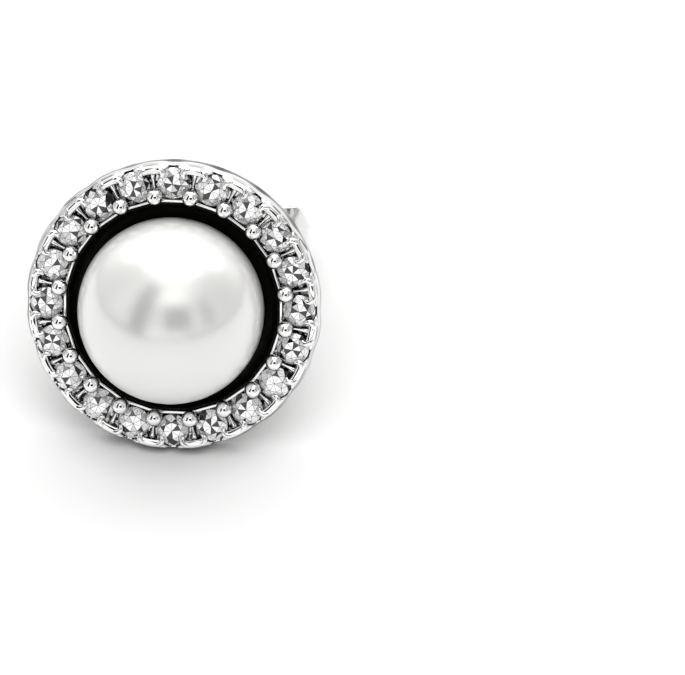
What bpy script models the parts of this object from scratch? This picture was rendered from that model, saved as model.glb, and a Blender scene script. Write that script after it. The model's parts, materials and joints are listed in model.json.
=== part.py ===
"""Pearl halo stud earring, lying at rest on its rim and its clutch.

Every piece is modelled about the post's axis, which is local Z: the back plane of
the setting is at zero, the pearl is on the positive side, the post on the negative.
One empty then leans that axis back, so the rim and the clutch stand on the floor.
"""

import math

import bmesh
import bpy
from mathutils import Matrix, Vector

MM = 0.001

# Clearance between pieces that touch on the real earring
FIT_GAP = 0.03 * MM

# Pearl
PEARL_DIAMETER = 8.0 * MM
PEARL_LEVEL = 2.0 * MM
DRILL_RADIUS = 0.43 * MM
DRILL_DEPTH = 2.2 * MM

# Stones
STONE_COUNT = 20
STONE_DIAMETER = 1.4 * MM
TABLE_SHARE = 0.53
CROWN_ANGLE = math.radians(34.5)
PAVILION_ANGLE = math.radians(40.8)
GIRDLE_THICKNESS = 0.04 * MM
MAIN_FACETS = 8
KITE_SHARE = 0.55
LOWER_SHARE = 0.24

# Halo
WELL_GAP = 0.60 * MM
BAR_WALL = 0.115 * MM
BAR_LAP = 0.05 * MM
BACK_PLATE = 0.35 * MM
CULET_LEVEL = 0.6 * MM
BAR_RISE = 0.10 * MM
RIB_DROP = 0.13 * MM
BRACKET_RISE = 0.39 * MM
BRACKET_WIDTH = 0.53 * MM
OUTER_WALL = 0.12 * MM
CLAW_LAP = 0.21 * MM
POCKET_DEPTH = 0.24 * MM
POCKET_WIDTH = 0.72 * MM
NOTCH_TOP_WIDTH = 0.66 * MM
NOTCH_FLOOR_WIDTH = 0.26 * MM
NOTCH_DROP = 0.09 * MM
SKIRT_FLARE = 0.09 * MM
SKIRT_LEVEL = 0.92 * MM
BACK_EDGE_INSET = 0.22 * MM
LOBE_DEPTH = 0.06 * MM
LOBE_SHARPNESS = 4
HALO_TURN = math.radians(2.5)

# Crest of a bracket, as shares of its width and of its rise above the girdles
BRACKET_CREST = (
    # across, up
    (0.00, 0.50),
    (0.14, 0.84),
    (0.44, 1.00),
    (0.72, 0.90),
    (0.90, 0.58),
    (1.00, 0.00),
)

# Bead prongs
BEAD_DIAMETER = 0.72 * MM
BEAD_INSET = 0.33 * MM
STEM_RADIUS = 0.20 * MM

# Black lining of the well
LINING_WALL = 0.09 * MM
LINING_FLOOR = 0.45 * MM
LINING_DROP = 0.09 * MM

# Post and peg
POST_DIAMETER = 0.9 * MM
POST_LENGTH = 11.4 * MM
POST_TIP = 0.18 * MM
GROOVE_DEPTH = 0.09 * MM
GROOVE_WIDTH = 0.5 * MM
GROOVE_SETBACK = 0.9 * MM
PEG_HEIGHT = 2.0 * MM

# Butterfly clutch
CLUTCH_WIDTH = 9.2 * MM
CLUTCH_HEIGHT = 5.0 * MM
CLUTCH_DEPTH = 3.5 * MM
CLUTCH_SETBACK = 7.75 * MM
SHEET = 0.28 * MM
WING_WIDTH = 2.5 * MM
SHOULDER_RADIUS = 0.9 * MM
HEEL_RADIUS = 1.5 * MM
CURL_RADIUS = 1.2 * MM
CURL_END_RADIUS = 0.6 * MM
CURL_END_SWEEP = math.radians(108)
WING_TAPER = 1.3 * MM

# Facets round the turned pieces
RIM_STEPS = 3 * STONE_COUNT
PEARL_STEPS = 40
BEAD_STEPS = 10
SEAT_STEPS = 12
POST_STEPS = 16
MERGE = 0.00001 * MM

# Fits worked out from the sizes above
PEARL_RADIUS = PEARL_DIAMETER / 2
STONE_RADIUS = STONE_DIAMETER / 2
BEAD_RADIUS = BEAD_DIAMETER / 2
POST_RADIUS = POST_DIAMETER / 2
SEAT_RADIUS = STONE_RADIUS + FIT_GAP
TABLE_RADIUS = STONE_RADIUS * TABLE_SHARE
CROWN_HEIGHT = (STONE_RADIUS - TABLE_RADIUS) * math.tan(CROWN_ANGLE)
PAVILION_DEPTH = STONE_RADIUS * math.tan(PAVILION_ANGLE)
PITCH = 2 * math.pi / STONE_COUNT

PEARL_SEAT = BACK_PLATE + FIT_GAP
WELL_RADIUS = PEARL_RADIUS + WELL_GAP
STONE_RING_RADIUS = WELL_RADIUS + BAR_WALL + SEAT_RADIUS
BEAD_RING_RADIUS = WELL_RADIUS + BEAD_INSET
GIRDLE_LEVEL = CULET_LEVEL + FIT_GAP + PAVILION_DEPTH
BAR_TOP = GIRDLE_LEVEL + BAR_RISE
RIB_TOP = GIRDLE_LEVEL - RIB_DROP
BRACKET_TOP = GIRDLE_LEVEL + BRACKET_RISE
BRACKET_OUTER = STONE_RING_RADIUS + SEAT_RADIUS + OUTER_WALL
BRACKET_INNER = BRACKET_OUTER - BRACKET_WIDTH
SKIRT_RADIUS = BRACKET_OUTER + SKIRT_FLARE
BACK_EDGE_RADIUS = SKIRT_RADIUS - BACK_EDGE_INSET


def bead_level():
    """Height of a bead's centre, so that it just clears the crown of both stones."""
    beside = STONE_RING_RADIUS - BEAD_RING_RADIUS * math.cos(PITCH / 2)
    along = BEAD_RING_RADIUS * math.sin(PITCH / 2)
    reach = math.hypot(beside, along) - STONE_RADIUS
    crown_rise = (BEAD_RADIUS + FIT_GAP) / math.cos(CROWN_ANGLE)
    return GIRDLE_LEVEL + GIRDLE_THICKNESS + crown_rise - reach * math.tan(CROWN_ANGLE)


def new_collection(name):
    collection = bpy.data.collections.new(name)
    bpy.context.scene.collection.children.link(collection)
    return collection


def new_material(name, color, metallic, roughness):
    material = bpy.data.materials.new(name)
    material.use_nodes = True
    shader = material.node_tree.nodes["Principled BSDF"]
    shader.inputs["Base Color"].default_value = (*color, 1.0)
    shader.inputs["Metallic"].default_value = metallic
    shader.inputs["Roughness"].default_value = roughness
    material.diffuse_color = (*color, 1.0)
    return material


def new_object(name, mesh, collection, material=None, parent=None):
    piece = bpy.data.objects.new(name, mesh)
    collection.objects.link(piece)
    piece.parent = parent
    if material and not mesh.materials:
        mesh.materials.append(material)
    return piece


def baked(piece):
    """Mesh of a piece with its modifiers applied, welded and facing out."""
    graph = bpy.context.evaluated_depsgraph_get()
    mesh = bpy.data.meshes.new_from_object(piece.evaluated_get(graph))
    shape = bmesh.new()
    shape.from_mesh(mesh)
    bmesh.ops.remove_doubles(shape, verts=shape.verts, dist=MERGE)
    bmesh.ops.recalc_face_normals(shape, faces=shape.faces)
    shape.to_mesh(mesh)
    shape.free()
    return mesh


def turned_mesh(name, profile, steps, loop=False):
    """Mesh of a profile of (radius, height) points turned about Z.

    The profile runs down its outer side. A loop is closed and makes a ring.
    """
    points = [(radius, 0.0, height) for radius, height in profile]
    edges = [(i, i + 1) for i in range(len(points) - 1)]
    if loop:
        edges.append((len(points) - 1, 0))
    outline = bpy.data.meshes.new(name)
    outline.from_pydata(points, edges, [])
    blank = bpy.data.objects.new(name, outline)
    bpy.context.scene.collection.objects.link(blank)
    screw = blank.modifiers.new("turn", 'SCREW')
    screw.steps = steps
    screw.render_steps = steps
    screw.use_merge_vertices = True
    screw.merge_threshold = MERGE
    mesh = baked(blank)
    bpy.data.objects.remove(blank)
    bpy.data.meshes.remove(outline)
    mesh.name = name
    return mesh


def repeated_mesh(name, mesh, places):
    """One mesh of several copies of a mesh, one at each place."""
    shape = bmesh.new()
    for place in places:
        first = len(shape.verts)
        shape.from_mesh(mesh)
        shape.verts.ensure_lookup_table()
        bmesh.ops.transform(shape, matrix=place, verts=shape.verts[first:])
    joined = bpy.data.meshes.new(name)
    shape.to_mesh(joined)
    shape.free()
    return joined


def around_halo(radius, height, half_turn=False):
    """Places round the halo at each stone, or halfway between two stones."""
    top = math.pi / 2 + HALO_TURN + (PITCH / 2 if half_turn else 0.0)
    places = []
    for index in range(STONE_COUNT):
        turn = Matrix.Rotation(top - index * PITCH, 4, 'Z')
        places.append(turn @ Matrix.Translation((radius, 0.0, height)))
    return places


def boolean(piece, operation, tool):
    modifier = piece.modifiers.new(tool.name, 'BOOLEAN')
    modifier.operation = operation
    modifier.solver = 'EXACT'
    modifier.object = tool


def new_tool(name, mesh, collection, parent):
    """A guide shape that cuts or joins a piece and is not a piece itself."""
    tool = new_object(name, mesh, collection, parent=parent)
    tool.hide_render = True
    tool.display_type = 'WIRE'
    return tool


def arc(center, radius, start, end, count):
    """Points on an arc of (across, up) about a centre, angles in radians."""
    points = []
    for index in range(count + 1):
        angle = start + (end - start) * index / count
        across = center[0] + radius * math.cos(angle)
        points.append((across, center[1] + radius * math.sin(angle)))
    return points


def pearl_mesh():
    """Button pearl: round, with a flat drilled back that sits on the plate."""
    drop = math.asin((PEARL_SEAT - PEARL_LEVEL) / PEARL_RADIUS)
    profile = arc((0.0, PEARL_LEVEL), PEARL_RADIUS, math.pi / 2, drop, 15)
    profile[0] = (0.0, PEARL_LEVEL + PEARL_RADIUS)
    profile.append((DRILL_RADIUS, PEARL_SEAT))
    profile.append((DRILL_RADIUS, PEARL_SEAT + DRILL_DEPTH))
    profile.append((0.0, PEARL_SEAT + DRILL_DEPTH))
    return turned_mesh("pearl", profile, PEARL_STEPS)


def stone_mesh():
    """Round brilliant about its own axis, with its girdle at zero.

    The hull of its corners gives an eight-sided table, stars, kites and upper
    halves above the girdle, and mains and lower halves below it.
    """
    slope_width = STONE_RADIUS - TABLE_RADIUS
    kite_radius = TABLE_RADIUS + KITE_SHARE * slope_width
    lower_radius = LOWER_SHARE * STONE_RADIUS
    half_step = math.pi / MAIN_FACETS
    kite_rise = (STONE_RADIUS - kite_radius * math.cos(half_step)) / slope_width
    lower_fall = 1 - lower_radius * math.cos(half_step) / STONE_RADIUS
    rings = (
        # corners, first angle, radius, height
        (MAIN_FACETS, 0.0, TABLE_RADIUS, GIRDLE_THICKNESS + CROWN_HEIGHT),
        (MAIN_FACETS, half_step, kite_radius, GIRDLE_THICKNESS + CROWN_HEIGHT * kite_rise),
        (2 * MAIN_FACETS, 0.0, STONE_RADIUS, GIRDLE_THICKNESS),
        (2 * MAIN_FACETS, 0.0, STONE_RADIUS, 0.0),
        (MAIN_FACETS, half_step, lower_radius, -PAVILION_DEPTH * lower_fall),
        (1, 0.0, 0.0, -PAVILION_DEPTH),
    )
    shape = bmesh.new()
    for count, start, radius, height in rings:
        for index in range(count):
            angle = start + 2 * math.pi * index / count
            across = radius * math.cos(angle)
            shape.verts.new((across, radius * math.sin(angle), height))
    bmesh.ops.convex_hull(shape, input=shape.verts)
    bmesh.ops.recalc_face_normals(shape, faces=shape.faces)
    mesh = bpy.data.meshes.new("stone")
    shape.to_mesh(mesh)
    shape.free()
    return mesh


def halo_blank_mesh():
    """Turned blank of the halo and back plate, with lobes between the stones."""
    bar_edge = STONE_RING_RADIUS - STONE_RADIUS + BAR_LAP
    profile = [
        (0.0, BAR_TOP),
        (bar_edge, BAR_TOP),
        (bar_edge, RIB_TOP),
        (BRACKET_INNER, RIB_TOP),
    ]
    for across, up in BRACKET_CREST:
        radius = BRACKET_INNER + across * BRACKET_WIDTH
        profile.append((radius, GIRDLE_LEVEL + up * BRACKET_RISE))
    profile += [
        (BRACKET_OUTER, (GIRDLE_LEVEL + SKIRT_LEVEL) / 2),
        (SKIRT_RADIUS, SKIRT_LEVEL),
        (SKIRT_RADIUS, SKIRT_LEVEL - SKIRT_FLARE),
        (BACK_EDGE_RADIUS, 0.0),
        (0.0, 0.0),
    ]
    mesh = turned_mesh("halo_setting", profile, RIM_STEPS)
    mesh.transform(Matrix.Rotation(math.pi / 2 + HALO_TURN, 4, 'Z'))
    for vertex in mesh.vertices:
        spot = vertex.co
        radius = math.hypot(spot.x, spot.y)
        if radius < BRACKET_OUTER - BRACKET_WIDTH / 2 or spot.z <= 0.0:
            continue
        angle = math.atan2(spot.y, spot.x) - math.pi / 2 - HALO_TURN
        dip = LOBE_DEPTH * abs(math.cos(STONE_COUNT * angle / 2)) ** LOBE_SHARPNESS
        spot.xy *= (radius - dip) / radius
    return mesh


def seat_cutter_mesh():
    """Seat of one stone: its cone, its girdle, and the way out past the claws."""
    opening = SEAT_RADIUS - CLAW_LAP
    crown_rise = CLAW_LAP * math.tan(CROWN_ANGLE)
    crown_start = GIRDLE_THICKNESS + FIT_GAP
    way_out = BRACKET_RISE + STONE_RADIUS
    profile = [
        (0.0, way_out),
        (opening, way_out),
        (opening, crown_start + crown_rise),
        (SEAT_RADIUS, crown_start),
        (SEAT_RADIUS, -FIT_GAP),
        (0.0, -PAVILION_DEPTH - FIT_GAP),
    ]
    return turned_mesh("seat_cutter", profile, SEAT_STEPS)


def notch_cutter_mesh():
    """Notch through the outer wall beside a stone, wider at its top."""
    floor = RIB_TOP - NOTCH_DROP
    top = BRACKET_TOP + BAR_RISE
    shape = bmesh.new()
    bmesh.ops.create_cube(shape, size=1.0)
    for vertex in shape.verts:
        width = NOTCH_TOP_WIDTH if vertex.co.z > 0 else NOTCH_FLOOR_WIDTH
        vertex.co.x *= 2 * BRACKET_WIDTH
        vertex.co.y *= width
        vertex.co.z = top if vertex.co.z > 0 else floor
    mesh = bpy.data.meshes.new("notch_cutter")
    shape.to_mesh(mesh)
    shape.free()
    return mesh


def pocket_cutter_mesh():
    """Pocket behind a bracket, which leaves its two ends as claws."""
    top = BRACKET_TOP + BAR_RISE
    middle = (RIB_TOP + top) / 2
    shape = bmesh.new()
    bmesh.ops.create_cube(shape, size=1.0)
    spread = Vector((2 * POCKET_DEPTH, POCKET_WIDTH, top - RIB_TOP))
    bmesh.ops.scale(shape, vec=spread, verts=shape.verts)
    bmesh.ops.translate(shape, vec=(0.0, 0.0, middle), verts=shape.verts)
    mesh = bpy.data.meshes.new("pocket_cutter")
    shape.to_mesh(mesh)
    shape.free()
    return mesh


def prong_mesh():
    """Round bead on its stem, standing in the metal between two stones."""
    level = bead_level()
    neck = math.acos(STEM_RADIUS / BEAD_RADIUS)
    profile = arc((0.0, level), BEAD_RADIUS, math.pi / 2, -neck, 5)
    profile[0] = (0.0, level + BEAD_RADIUS)
    profile.append((STEM_RADIUS, RIB_TOP - STEM_RADIUS))
    profile.append((0.0, RIB_TOP - STEM_RADIUS))
    return turned_mesh("prong", profile, BEAD_STEPS)


def post_mesh():
    """Ear post with its end groove and blunt tip, and its root in the plate."""
    end = -POST_LENGTH
    groove = end + GROOVE_SETBACK
    neck = POST_RADIUS - GROOVE_DEPTH
    profile = [
        (0.0, BACK_PLATE / 4),
        (POST_RADIUS, BACK_PLATE / 4),
        (POST_RADIUS, groove + GROOVE_WIDTH),
        (neck, groove + 0.7 * GROOVE_WIDTH),
        (neck, groove + 0.3 * GROOVE_WIDTH),
        (POST_RADIUS, groove),
        (POST_RADIUS, end + POST_TIP),
        (POST_RADIUS - POST_TIP, end),
        (0.0, end),
    ]
    return turned_mesh("post", profile, POST_STEPS)


def peg_mesh():
    """Peg on the plate that the drilled pearl is glued to."""
    radius = DRILL_RADIUS - FIT_GAP
    top = BACK_PLATE + PEG_HEIGHT
    profile = [
        (0.0, top),
        (radius, top),
        (radius, BACK_PLATE / 2),
        (0.0, BACK_PLATE / 2),
    ]
    return turned_mesh("peg", profile, SEAT_STEPS)


def lining_mesh():
    """Black lining of the well round the pearl, with one flat for each bar."""
    to_corner = 1 / math.cos(PITCH / 2)
    wall = (WELL_RADIUS - FIT_GAP) * to_corner
    floor_top = PEARL_SEAT + LINING_FLOOR
    pearl_there = math.sqrt(PEARL_RADIUS ** 2 - (PEARL_LEVEL - floor_top) ** 2)
    inner = (pearl_there + 2 * FIT_GAP) * to_corner
    top = BAR_TOP - LINING_DROP
    profile = [
        (wall - LINING_WALL, top),
        (wall, top),
        (wall, PEARL_SEAT),
        (inner, PEARL_SEAT),
        (inner, floor_top),
        (wall - 2 * LINING_WALL, floor_top + LINING_WALL),
    ]
    mesh = turned_mesh("black_well_ring", profile, STONE_COUNT, loop=True)
    mesh.transform(Matrix.Rotation(math.pi / 2 + HALO_TURN + PITCH / 2, 4, 'Z'))
    return mesh


def well_cutter_mesh():
    """Bore of the well: straight sides, one for each stone."""
    shape = bmesh.new()
    radius = WELL_RADIUS / math.cos(PITCH / 2)
    depth = BRACKET_TOP
    bmesh.ops.create_cone(
        shape, cap_ends=True, segments=STONE_COUNT,
        radius1=radius, radius2=radius, depth=depth)
    bmesh.ops.translate(shape, vec=(0.0, 0.0, BACK_PLATE + depth / 2), verts=shape.verts)
    mesh = bpy.data.meshes.new("well_cutter")
    shape.to_mesh(mesh)
    shape.free()
    corner = math.atan2(mesh.vertices[0].co.y, mesh.vertices[0].co.x)
    wanted = math.pi / 2 + HALO_TURN + PITCH / 2
    mesh.transform(Matrix.Rotation(wanted - corner, 4, 'Z'))
    return mesh


def build_setting(parts, tools, axis, metal):
    """Halo, back plate, bead prongs, peg and post: one soldered solid."""
    setting = new_object("halo_setting", halo_blank_mesh(), parts, metal, axis)
    stone_places = around_halo(STONE_RING_RADIUS, GIRDLE_LEVEL)
    prong_places = around_halo(BEAD_RING_RADIUS, 0.0, half_turn=True)
    notch_places = around_halo(BRACKET_OUTER, 0.0)
    pocket_places = around_halo(BRACKET_INNER, 0.0, half_turn=True)
    cuts = (
        ("pocket_cutters", repeated_mesh("pockets", pocket_cutter_mesh(), pocket_places)),
        ("seat_cutters", repeated_mesh("seats", seat_cutter_mesh(), stone_places)),
        ("notch_cutters", repeated_mesh("notches", notch_cutter_mesh(), notch_places)),
        ("well_cutter", well_cutter_mesh()),
    )
    for name, mesh in cuts:
        boolean(setting, 'DIFFERENCE', new_tool(name, mesh, tools, axis))
    additions = (
        ("prong_shapes", repeated_mesh("prongs", prong_mesh(), prong_places)),
        ("post_shape", post_mesh()),
        ("peg_shape", peg_mesh()),
    )
    for name, mesh in additions:
        boolean(setting, 'UNION', new_tool(name, mesh, tools, axis))
    return setting


def build_stones(parts, axis, crystal):
    """A brilliant in each seat, numbered clockwise from the top."""
    mesh = stone_mesh()
    places = around_halo(STONE_RING_RADIUS, GIRDLE_LEVEL)
    for number, place in enumerate(places, start=1):
        stone = new_object(f"stone_{number:02d}", mesh, parts, crystal, axis)
        stone.matrix_local = place


def wing_route():
    """Middle line of one wing as (across, depth), from the post hole outward.

    It bends back at the shoulder, round at the heel, and curls up at the post.
    """
    post_side = POST_RADIUS + FIT_GAP + SHEET / 2
    outer = (CLUTCH_WIDTH - SHEET) / 2
    back = CLUTCH_DEPTH - SHEET
    quarter = math.pi / 2
    shoulder = (outer - SHOULDER_RADIUS, -SHOULDER_RADIUS)
    heel = (outer - HEEL_RADIUS, HEEL_RADIUS - back)
    curl = (post_side + CURL_RADIUS, CURL_RADIUS - back)
    curl_end = (post_side + CURL_END_RADIUS, CURL_RADIUS - back)
    route = [(0.0, 0.0)]
    route += arc(shoulder, SHOULDER_RADIUS, quarter, 0.0, 6)
    route += arc(heel, HEEL_RADIUS, 0.0, -quarter, 7)
    route += arc(curl, CURL_RADIUS, -quarter, -2 * quarter, 5)
    inward = -2 * quarter
    route += arc(curl_end, CURL_END_RADIUS, inward, inward - CURL_END_SWEEP, 5)[1:]
    return [(across, -level) for across, level in route]


def wing_path():
    """The wing's route with the sheet's half height at each of its points."""
    route = wing_route()
    plate_half = CLUTCH_HEIGHT / 2
    wing_half = WING_WIDTH / 2
    taper_start = (CLUTCH_WIDTH - SHEET) / 2 - SHOULDER_RADIUS / 2
    path = []
    run = 0.0
    for here, there in zip(route, route[:1] + route):
        run += math.dist(here, there)
        share = min(1.0, max(0.0, (run - taper_start) / WING_TAPER))
        share = share * share * (3 - 2 * share)
        path.append((*here, plate_half + (wing_half - plate_half) * share))
    return path


def clutch_sheet_mesh():
    """Open middle surface of the bent sheet: the plate and its two wings."""
    right = wing_path()
    left = [(-across, depth, half) for across, depth, half in right[:0:-1]]
    path = left + right
    shape = bmesh.new()
    rows = []
    for across, depth, half in path:
        low = shape.verts.new((across, -half, -depth - SHEET / 2))
        high = shape.verts.new((across, half, -depth - SHEET / 2))
        rows.append((low, high))
    for here, there in zip(rows, rows[1:]):
        shape.faces.new((here[0], there[0], there[1], here[1]))
    mesh = bpy.data.meshes.new("butterfly_clutch")
    shape.to_mesh(mesh)
    shape.free()
    return mesh


def build_clutch(parts, tools, axis, metal):
    """Butterfly clutch on its own empty, which slides along the post."""
    slide = bpy.data.objects.new("clutch_slide_axis", None)
    parts.objects.link(slide)
    slide.parent = axis
    slide.location = (0.0, 0.0, -CLUTCH_SETBACK)
    clutch = new_object("butterfly_clutch", clutch_sheet_mesh(), parts, metal, slide)
    solidify = clutch.modifiers.new("sheet", 'SOLIDIFY')
    solidify.thickness = SHEET
    solidify.offset = 0.0
    solidify.use_even_offset = True
    hole = bmesh.new()
    bmesh.ops.create_cone(
        hole, cap_ends=True, segments=POST_STEPS, depth=4 * SHEET,
        radius1=POST_RADIUS + FIT_GAP, radius2=POST_RADIUS + FIT_GAP)
    mesh = bpy.data.meshes.new("post_hole")
    hole.to_mesh(mesh)
    hole.free()
    boolean(clutch, 'DIFFERENCE', new_tool("post_hole_cutter", mesh, tools, slide))
    return clutch


def world_corners(pieces):
    """Every corner of the pieces as they stand, modifiers included."""
    bpy.context.view_layer.update()
    graph = bpy.context.evaluated_depsgraph_get()
    corners = []
    for piece in pieces:
        shown = piece.evaluated_get(graph)
        mesh = shown.to_mesh()
        corners += [shown.matrix_world @ vertex.co for vertex in mesh.vertices]
        shown.to_mesh_clear()
    return corners


def lean_back(axis, clutch):
    """Turn the face up until the halo's back edge and the clutch share a floor."""
    leans = []
    for corner in world_corners([clutch]):
        leans.append(math.atan2(BACK_EDGE_RADIUS + corner.y, -corner.z))
    axis.rotation_euler = (math.pi / 2 - min(leans), 0.0, 0.0)


def stand_on_floor(axis, pieces):
    """Move the axis so the origin is under the middle of the standing earring."""
    corners = world_corners(pieces)
    low = Vector([min(corner[side] for corner in corners) for side in range(3)])
    high = Vector([max(corner[side] for corner in corners) for side in range(3)])
    middle = (low + high) / 2
    axis.location = (-middle.x, -middle.y, -low.z)
    bpy.context.view_layer.update()


def main():
    for leftover in list(bpy.data.objects):
        bpy.data.objects.remove(leftover)
    parts = new_collection("pearl_halo_earring")
    tools = new_collection("cutters_and_guides")
    pearl_skin = new_material("pearl_nacre", (0.86, 0.85, 0.81), 0.0, 0.22)
    metal = new_material("rhodium_metal", (0.80, 0.80, 0.81), 1.0, 0.10)
    enamel = new_material("black_enamel", (0.01, 0.009, 0.008), 0.0, 0.20)
    crystal = new_material("clear_crystal", (0.92, 0.93, 0.95), 0.0, 0.03)

    axis = bpy.data.objects.new("earring_axis", None)
    parts.objects.link(axis)
    build_setting(parts, tools, axis, metal)
    new_object("pearl", pearl_mesh(), parts, pearl_skin, axis)
    new_object("black_well_ring", lining_mesh(), parts, enamel, axis)
    build_stones(parts, axis, crystal)
    clutch = build_clutch(parts, tools, axis, metal)
    lean_back(axis, clutch)
    pieces = [piece for piece in parts.objects if piece.type == 'MESH']
    for piece in pieces:
        if not piece.name.startswith("stone_"):
            piece.data.shade_smooth()
            piece.data.set_sharp_from_angle(angle=math.radians(35))
    stand_on_floor(axis, pieces)


main()
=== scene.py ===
"""Looks of the pearl halo stud earring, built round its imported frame.

Pieces are shaped in millimetres about the post's axis: local Z points out of the
face, local Y up on the face, and the back plane of the halo is at zero. EARRING then
places them in the row frame. Lengths that the frame gives are read from it. The other
sizes of the solids, such as the post's radius, are typed here again.
"""

import json
import math
import random

import bmesh
import bpy
from mathutils import Matrix, Vector, noise


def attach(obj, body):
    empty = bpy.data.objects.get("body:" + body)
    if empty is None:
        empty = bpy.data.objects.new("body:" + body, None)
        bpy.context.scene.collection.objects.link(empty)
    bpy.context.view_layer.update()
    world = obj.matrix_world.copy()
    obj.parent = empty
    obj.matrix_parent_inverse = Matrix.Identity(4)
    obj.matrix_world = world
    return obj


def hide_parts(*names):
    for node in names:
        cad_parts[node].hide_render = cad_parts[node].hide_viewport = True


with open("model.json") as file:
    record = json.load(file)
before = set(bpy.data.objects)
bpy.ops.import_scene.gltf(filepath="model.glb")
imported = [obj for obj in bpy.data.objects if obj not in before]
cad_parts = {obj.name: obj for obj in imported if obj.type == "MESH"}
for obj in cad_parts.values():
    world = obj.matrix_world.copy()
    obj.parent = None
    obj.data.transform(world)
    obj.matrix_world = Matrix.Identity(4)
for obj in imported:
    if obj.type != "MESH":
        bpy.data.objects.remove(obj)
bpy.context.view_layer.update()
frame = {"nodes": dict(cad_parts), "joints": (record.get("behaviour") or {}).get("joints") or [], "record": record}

MM = 0.001

# The earring's own axes, from the slide's axis and two mounts
MOUNTS = {mount["name"]: Vector(mount["pos_m"]) for mount in frame["record"]["mounts"]}
FACE = Vector(frame["joints"][0]["axis"]).normalized()
RIGHT = Vector((1.0, 0.0, 0.0))
UP = FACE.cross(RIGHT)
TIP = MOUNTS["post_tip"]
POST_LENGTH = (MOUNTS["lobe_face"] - TIP).dot(FACE) / MM
CENTER = TIP + FACE * POST_LENGTH * MM
AXES = Matrix((RIGHT, UP, FACE)).transposed().to_4x4()
EARRING = Matrix.Translation(CENTER) @ AXES @ Matrix.Scale(MM, 4)
TO_LOCAL = EARRING.inverted()

# Sizes read from the frame
STONE_NAMES = [name for name in sorted(frame["nodes"]) if name.startswith("stone_")]
STONE_COUNT = len(STONE_NAMES)
PITCH = 2 * math.pi / STONE_COUNT


def local_points(node):
    """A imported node's points in the earring's own millimetres."""
    return [TO_LOCAL @ vertex.co for vertex in frame["nodes"][node].data.vertices]


def middle_of(points):
    """Middle of the box round some points."""
    low = Vector([min(point[side] for point in points) for side in range(3)])
    high = Vector([max(point[side] for point in points) for side in range(3)])
    return (low + high) / 2


FIRST_STONE = local_points(STONE_NAMES[0])
FIRST_CENTER = middle_of(FIRST_STONE)
STONE_RING_RADIUS = math.hypot(FIRST_CENTER.x, FIRST_CENTER.y)
FIRST_ANGLE = math.atan2(FIRST_CENTER.y, FIRST_CENTER.x)
STONE_RADIUS = max((point.xy - FIRST_CENTER.xy).length for point in FIRST_STONE)
STONE_TOP = max(point.z for point in FIRST_STONE)
CULET = min(point.z for point in FIRST_STONE)
PEARL_RADIUS = max(point.xy.length for point in local_points("pearl"))
PEARL_TOP = max(point.z for point in local_points("pearl"))
PEARL_SEAT = min(point.z for point in local_points("pearl"))
PEARL_LEVEL = PEARL_TOP - PEARL_RADIUS
LINING = local_points("black_well_ring")
LINING_TOP = max(point.z for point in LINING)
LINING_RADIUS = max(point.xy.length for point in LINING) * math.cos(PITCH / 2)

# Cut of the stones
TABLE_RADIUS = 0.53 * STONE_RADIUS
CROWN_HEIGHT = (STONE_RADIUS - TABLE_RADIUS) * math.tan(math.radians(34.5))
GIRDLE_THICKNESS = 0.04
GIRDLE_LEVEL = STONE_TOP - CROWN_HEIGHT - GIRDLE_THICKNESS
PAVILION_DEPTH = GIRDLE_LEVEL - CULET
# Width of the painted dark rim round each facet
PAINTED_RIM_WIDTH = 0.017
TABLE_FACING = 0.98
CROWN_FACING = 0.1
STONE_SEED = 20
# Painted reflection tones, from dark to light, for the table's wedges and the crown's facets
WEDGE_REFLECTION_TONES = (1.0, 1.0, 1.0, 0.6, 0.0, 0.0)
CROWN_REFLECTION_TONES = (1.0, 1.0, 1.0, 1.0, 1.0, 1.0, 0.6, 0.0)

# Halo
FIT_GAP = 0.03
BAR_WALL = 0.115
WELL_RADIUS = LINING_RADIUS + FIT_GAP
SEAT_RADIUS = STONE_RADIUS + FIT_GAP
BAR_TOP = GIRDLE_LEVEL + 0.10
BAR_END_GAP = 0.10
BAR_END_LIFT = 0.035
RIB_TOP = GIRDLE_LEVEL - 0.13
POCKET_FLOOR = RIB_TOP - 0.16
BRACKET_TOP = GIRDLE_LEVEL + 0.30
BRACKET_OUTER = STONE_RING_RADIUS + SEAT_RADIUS + 0.09
BRACKET_INNER = BRACKET_OUTER - 0.42
LOBE_DEPTH = 0.06
CREST_INNER_FALL = 0.07
CREST_OUTER_FALL = 0.16
SKIRT_RADIUS = BRACKET_OUTER + 0.10
SKIRT_LEVEL = 0.92
BACK_EDGE_RADIUS = SKIRT_RADIUS - 0.20
NOTCH_FLOOR = RIB_TOP - 0.09
NOTCH_FLOOR_WIDTH = 0.26
NOTCH_TOP_WIDTH = 0.66

# Bead prongs
BEAD_RADIUS = 0.36
BEAD_RING_RADIUS = WELL_RADIUS + 0.33
BEAD_LEVEL = GIRDLE_LEVEL + 0.331
BEAD_NECK = 0.24

# Pearl
DRILL_RADIUS = 0.43
DRILL_DEPTH = 2.2
RIPPLE_DEPTH = 0.005
RIPPLE_SCALE = 0.35

# Post
POST_RADIUS = 0.45
POST_TIP_BEVEL = 0.18
GROOVE_DEPTH = 0.09
GROOVE_WIDTH = 0.5
GROOVE_SETBACK = 0.9

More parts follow.
